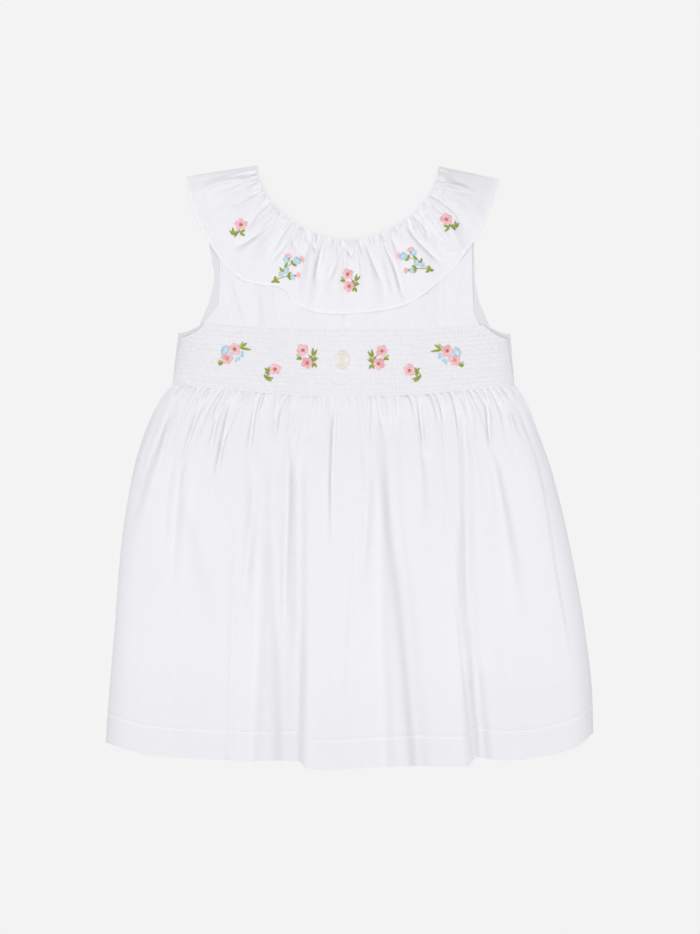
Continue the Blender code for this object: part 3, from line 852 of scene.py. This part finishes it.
def ruffle_surface(face, level, flute_share, shrink, seed, rows, count):
    """Half of the ruffle, fanned out from the neck; face is 1 for the front and -1 for the back."""
    angle = np.linspace(0, LAST_ANGLE, count + 1)
    turn = np.radians(angle)
    neck_x = NECK_X - NECK_HALF * np.sign(np.cos(turn)) * np.abs(np.cos(turn)) ** (2 / NECK_POWER)
    neck_y = NECK_TOP - (NECK_DEEP + (1.2 if face < 0 else 0.0)) * np.sin(turn) ** (2 / NECK_POWER)
    reach = smooth_through(angle, ruffle_reach["angle"], ruffle_reach["reach"]) - shrink * np.sin(turn)
    edge_x = RUFFLE_CENTRE[0] - reach * np.cos(turn)
    edge_y = RUFFLE_CENTRE[1] - reach * np.sin(turn)
    depth = np.hypot(edge_x - neck_x, edge_y - neck_y)
    surface = []
    for out in np.linspace(0, 1, rows + 1):
        rise = np.zeros_like(neck_x)
        x = neck_x + (edge_x - neck_x) * out
        y = neck_y + (edge_y - neck_y) * out
        for at_neck, at_edge, spread, flute in zip(*flutes.values()):
            middle = at_neck + (at_edge - at_neck) * out
            rise += flute_share * ease(out / 0.45) * flute * np.exp(-((angle - middle) / spread) ** 2)
        from_neck = depth * out
        close = np.exp(-(from_neck / 15.0) ** 1.4) * ease(from_neck / 2.6)
        rise += 1.5 * soft_noise(angle / 1.25, out * 3, seed + 1) * close
        pinch = 1 - 2 * np.abs(soft_noise(angle / 2.6, out * 1.5, seed + 2))
        rise += 0.55 * pinch * ease(out / 0.08) * (1 - 0.8 * out)
        if face > 0:
            rise += creasing(x, y, ruffle_creases)
        hem = 0.25 * ease((NARROW_HEM + 0.5 - (depth - from_neck)) / 0.7)
        if face > 0:
            yoke = yoke_height(YOKE_FRONT, BAND_FRONT, np.maximum(y - yoke_seam(x), 0.0))
            settled = ease((out - 0.55) / 0.45)
            lying = (level + RUFFLE_LOFT * ease(out / 0.25)) * (1 - settled) + (yoke + 1.0) * settled
            body = kept_above(yoke + RUFFLE_CLEARANCE, 0.3, lying + rise * (1 - 0.5 * settled) + hem)
        else:
            body = level + np.maximum(rise, 0.0) * ease(out / 0.1)
        radius = NECK_HALF + (reach - NECK_HALF) * out
        from_fold = np.radians(np.minimum(angle, LAST_ANGLE - angle)) * radius
        roll = rolled_down(np.clip(from_fold / RUFFLE_ROLL, 0.0, 1.0))
        body = body + (SHOULDER_RIDGE * hump(from_fold - RUFFLE_ROLL, 8.0, 9.0) if face > 0 else 0.0)
        fold = SHOULDER_SEAM + face * CLOTH / 2
        surface.append(np.column_stack((x, y, fold + (body - fold) * roll)))
    return np.array(surface)


front_frill = ruffle_surface(1, RUFFLE_FRONT, 1.0, 0.0, 71, RUFFLE_ROWS, 500)
from_edge = np.linalg.norm(front_frill - front_frill[-1], axis=2)
# lighter along the narrow hem, painted shade deeper towards the right shoulder where the ruffle rolls over
# it, and a touch deeper all over
narrow_hem = 0.035 * ease((NARROW_HEM + 0.4 - from_edge) / 0.8)
right_shoulder_painted_shade = -0.045 * ease((np.linspace(0, LAST_ANGLE, front_frill.shape[1]) - 148) / 20)
ruffle_front = cloth_piece(
    "front_ruffle", front_frill, white_cotton, 0.5, shade=narrow_hem + right_shoulder_painted_shade - 0.012)
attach(ruffle_front, "root")
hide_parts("ruffle_front")
ruffle_back = cloth_piece(
    "back_ruffle", ruffle_surface(-1, RUFFLE_BACK, 0.45, 3.0, 83, 40, 300), white_cotton, 0.5)
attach(ruffle_back, "root")
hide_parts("ruffle_back")

# ---- Seam stitching -----------------------------------------------------------------------
# White cotton thread: a row along the top of the skirt's hem and one along the ruffle's narrow
# hem, and thirteen rows of covered elastic across the front band.
SEAM_THREAD, SEAM_ARCH = 0.38, 0.16
HEM_THREAD, HEM_ARCH = 0.6, 0.2
ELASTIC_THREAD, ELASTIC_ARCH = 0.30, 0.06


def sewn_thread():
    """A node group: every edge of the mesh becomes one stitch, arched and tapered, of twisted thread."""
    group = bpy.data.node_groups.new("sewn thread", "GeometryNodeTree")
    group.interface.new_socket("Geometry", in_out="INPUT", socket_type="NodeSocketGeometry")
    for name in ("Thickness", "Arch", "Twist"):
        group.interface.new_socket(name, in_out="INPUT", socket_type="NodeSocketFloat")
    group.interface.new_socket("Material", in_out="INPUT", socket_type="NodeSocketMaterial")
    group.interface.new_socket("Geometry", in_out="OUTPUT", socket_type="NodeSocketGeometry")
    node, link = group.nodes.new, group.links.new
    given, result = node("NodeGroupInput"), node("NodeGroupOutput")
    math = arithmetic(group)

    stitches = node("GeometryNodeMeshToCurve")
    link(given.outputs["Geometry"], stitches.inputs["Mesh"])
    points = node("GeometryNodeResampleCurve")
    points.inputs["Count"].default_value = 5
    link(stitches.outputs["Curve"], points.inputs["Curve"])
    along = node("GeometryNodeSplineParameter")
    # 0 at both ends of the stitch and 1 in its middle
    to_go = math("SUBTRACT", 1.0, along.outputs["Factor"])
    middle = math("MULTIPLY", math("MULTIPLY", along.outputs["Factor"], to_go), 4.0)
    lift = node("ShaderNodeCombineXYZ")
    link(math("MULTIPLY", middle, given.outputs["Arch"]), lift.inputs["Z"])
    arched = node("GeometryNodeSetPosition")
    link(points.outputs["Curve"], arched.inputs["Geometry"])
    link(lift.outputs[0], arched.inputs["Offset"])
    run = node("GeometryNodeStoreNamedAttribute")
    run.data_type, run.domain = "FLOAT", "POINT"
    run.inputs["Name"].default_value = "run"
    link(arched.outputs["Geometry"], run.inputs["Geometry"])
    link(math("MULTIPLY", along.outputs["Length"], given.outputs["Twist"]), run.inputs["Value"])
    tapered = node("GeometryNodeSetCurveRadius")
    link(run.outputs["Geometry"], tapered.inputs["Curve"])
    link(math("MULTIPLY_ADD", middle, 0.35, 0.65), tapered.inputs["Radius"])
    round_section = node("GeometryNodeCurvePrimitiveCircle")
    round_section.inputs["Resolution"].default_value = 6
    link(math("MULTIPLY", given.outputs["Thickness"], 0.5), round_section.inputs["Radius"])
    around = node("GeometryNodeSplineParameter")
    turn = node("GeometryNodeStoreNamedAttribute")
    turn.data_type, turn.domain = "FLOAT", "POINT"
    turn.inputs["Name"].default_value = "turn"
    link(round_section.outputs["Curve"], turn.inputs["Geometry"])
    link(around.outputs["Factor"], turn.inputs["Value"])
    tubes = node("GeometryNodeCurveToMesh")
    tubes.inputs["Fill Caps"].default_value = True
    link(tapered.outputs["Curve"], tubes.inputs["Curve"])
    link(turn.outputs["Geometry"], tubes.inputs["Profile Curve"])
    smooth = node("GeometryNodeSetShadeSmooth")
    link(tubes.outputs["Mesh"], smooth.inputs["Geometry"])
    real = node("GeometryNodeRealizeInstances")
    link(smooth.outputs["Geometry"], real.inputs["Geometry"])
    coloured = node("GeometryNodeSetMaterial")
    link(real.outputs["Geometry"], coloured.inputs["Geometry"])
    link(given.outputs["Material"], coloured.inputs["Material"])
    link(coloured.outputs["Geometry"], result.inputs["Geometry"])
    return group


sewn = sewn_thread()


def stitched(name, stitches, thickness, arch, material):
    """A piece of stitches, from rows of x, y, z, x, y, z and tone in millimetres."""
    stitches = np.array(stitches, float)
    ends = stitches[:, :6].reshape(-1, 3) * METRES
    edges = np.arange(len(ends)).reshape(-1, 2)
    mesh = bpy.data.meshes.new(name + "_lines")
    mesh.from_pydata(ends.tolist(), edges.tolist(), [])
    mesh.attributes.new("tone", "FLOAT", "POINT").data.foreach_set("value", np.repeat(stitches[:, 6], 2))
    lines = bpy.data.objects.new(name + "_lines", mesh)
    bpy.context.scene.collection.objects.link(lines)
    sewing = lines.modifiers.new("sewing", "NODES")
    sewing.node_group = sewn
    values = {"Thickness": thickness * METRES, "Arch": arch * METRES, "Twist": 1100.0, "Material": material}
    for socket in sewn.interface.items_tree:
        if socket.item_type == "SOCKET" and socket.in_out == "INPUT" and socket.name in values:
            sewing[socket.identifier] = values[socket.name]
    evaluated = lines.evaluated_get(bpy.context.evaluated_depsgraph_get())
    baked = bpy.data.meshes.new_from_object(evaluated)
    baked.name = name
    bpy.data.objects.remove(lines, do_unlink=True)
    piece = bpy.data.objects.new(name, baked)
    bpy.context.scene.collection.objects.link(piece)
    return piece


def thread_ply():
    """A node group: the ridges of a thread's twisted plies, and its tone with painted light on the ridges and
    painted shade in the grooves between them.
    """
    group = bpy.data.node_groups.new("thread ply", "ShaderNodeTree")
    group.interface.new_socket("Plies", in_out="INPUT", socket_type="NodeSocketFloat").default_value = 2.0
    for name in ("Height", "Tone"):
        group.interface.new_socket(name, in_out="OUTPUT", socket_type="NodeSocketFloat")
    node, link = group.nodes.new, group.links.new
    given, result = node("NodeGroupInput"), node("NodeGroupOutput")
    math = arithmetic(group)
    parts = []
    for name in ("run", "turn", "tone"):
        part = node("ShaderNodeAttribute")
        part.attribute_name = name
        parts.append(part.outputs["Fac"])
    run, turn, tone = parts
    ridge = math("SINE", math("MULTIPLY", math("MULTIPLY_ADD", turn, given.outputs["Plies"], run), 2 * np.pi))
    link(ridge, result.inputs["Height"])
    # the ply ridges painted a little lighter and the grooves between them a little deeper
    link(math("MULTIPLY_ADD", ridge, -0.06, tone), result.inputs["Tone"])
    return group


ply = thread_ply()


def thread(name, tints, roughness):
    """Twisted thread that runs through the tints, lightest first, by each stitch's own tone."""
    material = bpy.data.materials.new(name)
    material.use_nodes = True
    nodes, link = material.node_tree.nodes, material.node_tree.links.new
    shader = nodes["Principled BSDF"]
    shader.inputs["Roughness"].default_value = roughness
    shader.inputs["Specular IOR Level"].default_value = 0.3
    shader.inputs["Sheen Weight"].default_value = 0.15
    plies = nodes.new("ShaderNodeGroup")
    plies.node_tree = ply
    plies.inputs["Plies"].default_value = 2.0
    colours = nodes.new("ShaderNodeValToRGB")
    stops = colours.color_ramp.elements
    while len(stops) < len(tints):
        stops.new(0.5)
    for number, tint in enumerate(tints):
        stops[number].position = number / (len(tints) - 1)
        stops[number].color = (*tint, 1.0)
    link(plies.outputs["Tone"], colours.inputs["Fac"])
    link(colours.outputs["Color"], shader.inputs["Base Color"])
    relief = nodes.new("ShaderNodeBump")
    relief.inputs["Strength"].default_value = 0.6
    relief.inputs["Distance"].default_value = 0.00004
    link(plies.outputs["Height"], relief.inputs["Height"])
    link(relief.outputs["Normal"], shader.inputs["Normal"])
    return material


def row_of_stitches(line, pitch, share, above):
    """Stitches laid end to end along a line of points, each so much of its pitch long."""
    run = np.concatenate(([0], np.cumsum(np.linalg.norm(np.diff(line, axis=0), axis=1))))
    starts = np.arange(0, run[-1] - pitch, pitch)
    ends = [np.column_stack([np.interp(at, run, line[:, axis]) for axis in range(3)])
            for at in (starts, starts + share * pitch)]
    rise = np.array((0, 0, above))
    tone = 0.5 + 0.5 * np.sin(starts * 2.7)
    return np.column_stack((ends[0] + rise, ends[1] + rise, tone))


def elastic_rows():
    """The thirteen rows across the front band, each in the groove that it makes."""
    rows = []
    for number in range(1, SHIRRING_ROWS + 1):
        part = number / (SHIRRING_ROWS + 1)
        side_left = BAND_LEFT - BAND_FLARE[0] * part + 3.0
        side_right = BAND_RIGHT + BAND_FLARE[1] * part - 3.0
        x = np.linspace(side_left, side_right, 400)
        y = yoke_seam(x) + (waist_line(x) - yoke_seam(x)) * part
        trimmed = y < band_top_line(x, BAND_LEFT, BAND_RIGHT) - 1.0
        line = np.column_stack((x, y, np.full_like(x, BAND_FRONT - 0.4)))[trimmed]
        rows.append(row_of_stitches(line, 2 * PUCKER, 0.6, CLOTH / 2))
    return np.concatenate(rows)


white_thread = thread("white_thread", ((0.86, 0.855, 0.88), (0.80, 0.795, 0.82)), 0.6)
hem_line = skirt_surface(front_skirt_height, [1 - HEM_DEPTH / SKIRT_DROP], 900)[0][4:-4]
hem_stitches = stitched(
    "skirt_hem_stitches", row_of_stitches(hem_line, 2.3, 0.66, CLOTH / 2 + 0.1),
    HEM_THREAD, HEM_ARCH, white_thread)
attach(hem_stitches, "root")
ruffle_row = front_frill[RUFFLE_ROWS - 3][4:-4]
ruffle_stitches = stitched(
    "ruffle_hem_stitches", row_of_stitches(ruffle_row, 2.1, 0.74, 0.35), SEAM_THREAD, SEAM_ARCH, white_thread)
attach(ruffle_stitches, "root")
covered_elastic = thread("covered_elastic", ((0.80, 0.795, 0.82), (0.75, 0.745, 0.77)), 0.7)
elastic = stitched("elastic_rows", elastic_rows(), ELASTIC_THREAD, ELASTIC_ARCH, covered_elastic)
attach(elastic, "root")

# ---- Embroidery ---------------------------------------------------------------------------
# Small sprays of five-petalled flowers, buds and leaves in shiny satin stitch, worked in pink,
# pale blue and olive thread on the front ruffle and the front band, the same on both sides.
SATIN_THREAD, SATIN_ARCH = 0.50, 0.42

chance = np.random.default_rng(2024)
worked = {"pink": [], "blue": [], "olive": [], "pale": []}


class Spray:
    """Stitches of one spray, in its own millimetres, placed on the dress."""

    def __init__(self, x, y, turn=0.0, size=1.0, side=1):
        self.x, self.y, self.size, self.side = x, y, size, side
        self.cos, self.sin = np.cos(np.radians(turn)), np.sin(np.radians(turn))

    def sew(self, colour, x1, y1, x2, y2, tone, raised=0.0):
        ends = []
        for x, y in ((x1, y1), (x2, y2)):
            x, y = x * self.size * self.side, y * self.size
            ends += [self.x + x * self.cos - y * self.sin, self.y + x * self.sin + y * self.cos]
        worked[colour].append((*ends, tone, raised))

    def flower(self, x, y, radius, turn=90.0, eye="olive"):
        """Five rounded petals worked from the middle outwards, with a knotted middle."""
        for petal in range(5):
            middle = np.radians(turn + 72 * petal + chance.uniform(-5, 5))
            shade = chance.uniform(0.0, 0.45)
            full = radius * chance.uniform(0.88, 1.12)
            for step in np.linspace(-1, 1, 11):
                angle = middle + step * np.radians(37)
                reach = full * (1 - 0.32 * step ** 2) * chance.uniform(0.95, 1.03)
                root = middle + step * np.radians(30)
                tone = shade + 0.25 * abs(step) ** 3 + chance.uniform(-0.08, 0.08)
                self.sew("pink", x + 0.2 * radius * np.cos(root), y + 0.2 * radius * np.sin(root),
                         x + reach * np.cos(angle), y + reach * np.sin(angle), tone)
            for step in (-0.35, 0.3):
                angle = middle + step * np.radians(37)
                reach = full * chance.uniform(0.5, 0.68)
                self.sew("pink", x + 0.15 * radius * np.cos(angle), y + 0.15 * radius * np.sin(angle),
                         x + reach * np.cos(angle), y + reach * np.sin(angle), 0.9, 0.22)
        for knot in range(6):
            angle = np.radians(30 * knot)
            reach = 0.17 * radius
            self.sew(eye, x - reach * np.cos(angle), y - reach * np.sin(angle),
                     x + reach * np.cos(angle), y + reach * np.sin(angle), 0.4 + 0.1 * knot, 0.5)

    def leaf(self, x1, y1, x2, y2, width=1.7, colour="olive"):
        """A pointed leaf from its foot to its tip, worked slantwise from its vein."""
        along_x, along_y = x2 - x1, y2 - y1
        length = np.hypot(along_x, along_y)
        out_x, out_y = -along_y / length, along_x / length
        for number in range(8):
            part = number / 8 * 0.72
            edge = part + 0.3
            half = width / 2 * np.sin(np.pi * min(edge, 1.0) ** 0.8) + 0.1
            for way in (-1, 1):
                self.sew(colour, x1 + along_x * part, y1 + along_y * part,
                         x1 + along_x * edge + way * out_x * half, y1 + along_y * edge + way * out_y * half,
                         0.35 + 0.2 * way + chance.uniform(-0.2, 0.2))

    def stem(self, *points, colour="olive", tone=0.6):
        """A line of short back stitches through the points."""
        for (x1, y1), (x2, y2) in zip(points, points[1:]):
            count = max(1, round(np.hypot(x2 - x1, y2 - y1) / 1.5))
            for number in range(count):
                start, end = number / count, (number + 1.05) / count
                self.sew(colour, x1 + (x2 - x1) * start, y1 + (y2 - y1) * start,
                         x1 + (x2 - x1) * end, y1 + (y2 - y1) * end, tone + 0.2 * (number % 2))

    def tuft(self, colour, x, y, radius, turn, spread=150.0, lobes=3):
        """A small open flower or bud: a few lobes fanned out from its foot."""
        for lobe in range(lobes):
            middle = np.radians(turn + spread * ((lobe + 0.5) / lobes - 0.5))
            shade = chance.uniform(0.05, 0.6)
            for step in np.linspace(-1, 1, 5):
                angle = middle + step * np.radians(spread / lobes / 2.1)
                reach = radius * (1 - 0.2 * step ** 2) * chance.uniform(0.92, 1.05)
                tone = shade + chance.uniform(-0.1, 0.1)
                self.sew(colour, x + 0.1 * radius * np.cos(angle), y + 0.1 * radius * np.sin(angle),
                         x + reach * np.cos(angle), y + reach * np.sin(angle), tone)


for side, x, y, turn in ((1, -90.0, 200.0, 0), (-1, 79.5, 204.0, 14)):
    # one flower on each shoulder of the ruffle
    spray = Spray(x, y, turn, 1.0, side)
    spray.stem((-5.6, -10.0), (-1.4, -4.6))
    spray.stem((-4.9, -10.2), (-0.8, -4.8))
    spray.leaf(-6.0, -8.6, -9.4, -4.6)
    spray.leaf(-5.8, -8.2, -7.0, -2.4)
    spray.leaf(-5.2, -8.6, -3.2, -4.8, 1.4)
    spray.leaf(-0.9, -6.6, 3.6, -4.4)
    spray.leaf(-0.9, -7.0, 3.6, -9.4)
    spray.flower(0, 0, 5.3)

for side, x, y, turn in ((1, -62.0, 153.5, 0), (-1, 66.0, 162.5, 15)):
    # a branching spray of buds near each end of the ruffle's front
    spray = Spray(x, y, turn, 1.0, side)
    spray.stem((1.2, 1.0), (10.4, 4.2), (16.5, 4.4))
    spray.stem((1.6, 1.8), (5.6, 6.4), (9.6, 11.4), (14.0, 14.2), colour="pale")
    spray.leaf(0.2, 0.2, 0.4, 4.2, 1.9)
    spray.leaf(0.4, 0.0, -3.2, -0.9, 1.9)
    spray.leaf(0.4, 0.0, 4.0, -1.2, 1.9)
    spray.leaf(10.6, 4.2, 13.4, 7.6)
    spray.leaf(10.6, 4.2, 13.2, 0.8)
    spray.leaf(5.6, 8.0, 4.2, 11.2, 1.5)
    spray.leaf(5.6, 8.0, 8.4, 9.4, 1.5)
    spray.leaf(8.0, 10.4, 10.6, 15.2, 1.5)
    spray.leaf(14.4, 13.8, 14.0, 17.0)
    spray.leaf(14.4, 13.8, 18.0, 12.6)
    spray.tuft("blue", 5.2, 5.6, 2.4, 40, 300, 4)
    spray.tuft("blue", 9.0, 8.8, 3.0, 30, 330, 5)
    spray.tuft("blue", 14.4, 3.4, 2.8, -20, 330, 4)
    spray.tuft("blue", 9.6, 17.4, 3.3, 110, 330, 5)
    spray.tuft("blue", 18.4, 16.6, 4.0, 100, 340, 5)
    spray.tuft("pink", 17.0, 4.4, 4.0, 12, 100, 3)
    spray.tuft("pink", 11.0, 19.2, 3.4, 80, 150, 4)
    spray.tuft("pink", 21.2, 17.8, 3.2, 20, 150, 4)
    spray.leaf(15.8, 4.2, 18.6, 4.8, 1.3)
    spray.leaf(10.6, 17.2, 12.4, 19.4, 1.3)
    spray.leaf(20.0, 17.2, 22.4, 18.0, 1.2)

for side, x, y, turn, size in (
        (1, -2.0, 159.0, -12, 0.9), (1, -39.0, 96.5, 0, 1.0), (-1, 26.5, 96.0, 4, 1.0)):
    # two flowers, one above the other: the middle of the ruffle, and either side of the band's middle
    spray = Spray(x, y, turn, size, side)
    spray.stem((4.0, -3.4), (7.0, -5.4), (8.2, -9.4))
    spray.leaf(8.0, -4.6, 8.4, 2.2)
    spray.leaf(8.8, -4.6, 11.8, 0.8)
    spray.leaf(8.0, -6.2, 5.2, -4.6, 1.6)
    spray.leaf(8.4, -8.6, 10.8, -4.6, 1.6)
    spray.leaf(7.6, -9.8, 12.8, -6.0, 1.2)
    spray.leaf(8.4, -10.6, 7.8, -14.4, 1.8)
    spray.leaf(8.8, -10.4, 11.6, -14.2, 1.8)
    spray.leaf(-2.2, -5.2, -5.6, -3.8, 1.6, "pale")
    spray.leaf(-2.2, -5.4, -5.2, -7.8, 1.9)
    spray.leaf(-2.0, -5.4, -2.2, -8.2, 1.7)
    spray.flower(0, 0, 5.1, 120)
    spray.flower(3.7, -10.4, 5.2, 60)

for side, x, y, turn in ((1, -62.0, 81.0, 0), (-1, 49.0, 80.0, 6)):
    # one low flower between the larger groups of the band
    spray = Spray(x, y, turn, 1.0, side)
    spray.stem((-4.8, -2.8), (-8.2, -7.4))
    spray.stem((-4.2, -3.4), (-7.4, -8.2))
    spray.leaf(-5.0, -2.4, -8.8, 1.2)
    spray.leaf(-4.8, -2.2, -5.6, 1.8, 1.5)
    spray.leaf(-5.6, -3.4, -8.4, -2.8, 1.4)
    spray.leaf(-7.8, -7.2, -1.2, -7.6, 1.6)
    spray.leaf(-7.8, -7.8, -2.6, -9.8, 1.6)
    spray.leaf(-8.2, -7.0, -8.8, -4.2, 1.4)
    spray.flower(0, 0, 5.2, 100)

for side, x, y, turn in ((1, -95.5, 97.5, 0), (-1, 80.5, 96.0, 0)):
    # a group of two flowers with blue ones behind, at each end of the band
    spray = Spray(x, y, turn, 1.0, side)
    spray.tuft("blue", -6.6, -1.8, 5.4, 150, 150, 4)
    spray.tuft("blue", 3.0, -4.2, 5.2, 0, 80, 2)
    spray.tuft("blue", 0.2, -6.2, 5.0, -52, 80, 2)
    spray.tuft("blue", -3.6, -3.0, 3.4, 150, 300, 4)
    spray.leaf(4.4, 1.0, 10.8, 5.4, 2.0)
    spray.leaf(4.2, 1.4, 7.4, 6.4, 1.7, "pale")
    spray.leaf(5.0, 0.6, 14.2, -0.6, 1.6)
    spray.leaf(-10.2, -10.4, -13.8, -9.4, 1.6, "pale")
    spray.leaf(-10.0, -10.4, -12.8, -13.6, 2.0)
    spray.leaf(-10.4, -10.8, -14.0, -12.0, 1.8)
    spray.flower(-6.1, -7.6, 5.1, 80, "pale")
    spray.flower(0, 0, 5.4, 100)


def laid_on(cloths, flat):
    """Stitches with their ends laid on the highest cloth under them."""
    depsgraph = bpy.context.evaluated_depsgraph_get()
    trees = [BVHTree.FromObject(cloth, depsgraph) for cloth in cloths]

    def top(x, y):
        found = []
        for tree in trees:
            for dx, dy in ((0, 0), (0.7, 0), (-0.7, 0), (0, 0.7), (0, -0.7)):
                above = Vector(((x + dx) * METRES, (y + dy) * METRES, 0.1))
                hit = tree.ray_cast(above, Vector((0, 0, -1)))[0]
                if hit:
                    found.append(hit.z / METRES)
        return max(found)

    laid = []
    for x1, y1, x2, y2, tone, raised in flat:
        laid.append((x1, y1, top(x1, y1) + raised, x2, y2, top(x2, y2) + raised, np.clip(tone, 0, 1)))
    return laid


EMBROIDERY_THREADS = {
    "pink": ("pink_thread", ((0.88, 0.58, 0.62), (0.83, 0.43, 0.48), (0.68, 0.20, 0.26))),
    "blue": ("blue_thread", ((0.56, 0.73, 0.81), (0.46, 0.65, 0.75), (0.35, 0.55, 0.68))),
    "olive": ("olive_thread", ((0.38, 0.42, 0.08), (0.25, 0.30, 0.03), (0.15, 0.18, 0.02))),
    "pale": ("olive_thread", ((0.50, 0.64, 0.28), (0.40, 0.54, 0.18), (0.32, 0.44, 0.12))),
}
for colour, (thread_slot, tints) in EMBROIDERY_THREADS.items():
    satin = thread(colour + "_thread", tints, 0.42)
    stitches = laid_on((ruffle_front, band_front), worked[colour])
    embroidery = stitched(colour + "_embroidery", stitches, SATIN_THREAD, SATIN_ARCH, satin)
    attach(embroidery, "root")

# ---- Rosette ------------------------------------------------------------------------------
# A small oval rosette at the middle of the band, worked round and round in ivory cord.
ROSETTE = (-6.5, 88.5)
ROSETTE_HALF = (5.6, 7.6)
ROSETTE_CORD, ROSETTE_ARCH = 0.95, 0.2
wound = []
for ring, turns in ((1.0, 44), (0.84, 38), (0.66, 32), (0.49, 24), (0.32, 16), (0.15, 8)):
    for number in range(turns):
        start, end = 2 * np.pi * number / turns, 2 * np.pi * (number + 1.15) / turns
        wound.append((
            ROSETTE[0] + ROSETTE_HALF[0] * ring * np.cos(start),
            ROSETTE[1] + ROSETTE_HALF[1] * ring * np.sin(start),
            ROSETTE[0] + ROSETTE_HALF[0] * (ring - 0.02) * np.cos(end),
            ROSETTE[1] + ROSETTE_HALF[1] * (ring - 0.02) * np.sin(end),
            0.2 + 0.45 * (ring > 0.9) + 0.15 * chance.uniform(-1, 1), 0.25 + 0.35 * (1 - ring)))
ivory = thread("ivory_thread", ((0.90, 0.87, 0.81), (0.84, 0.80, 0.73), (0.75, 0.71, 0.63)), 0.5)
rosette = stitched("ivory_rosette", laid_on((band_front,), wound), ROSETTE_CORD, ROSETTE_ARCH, ivory)
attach(rosette, "root")
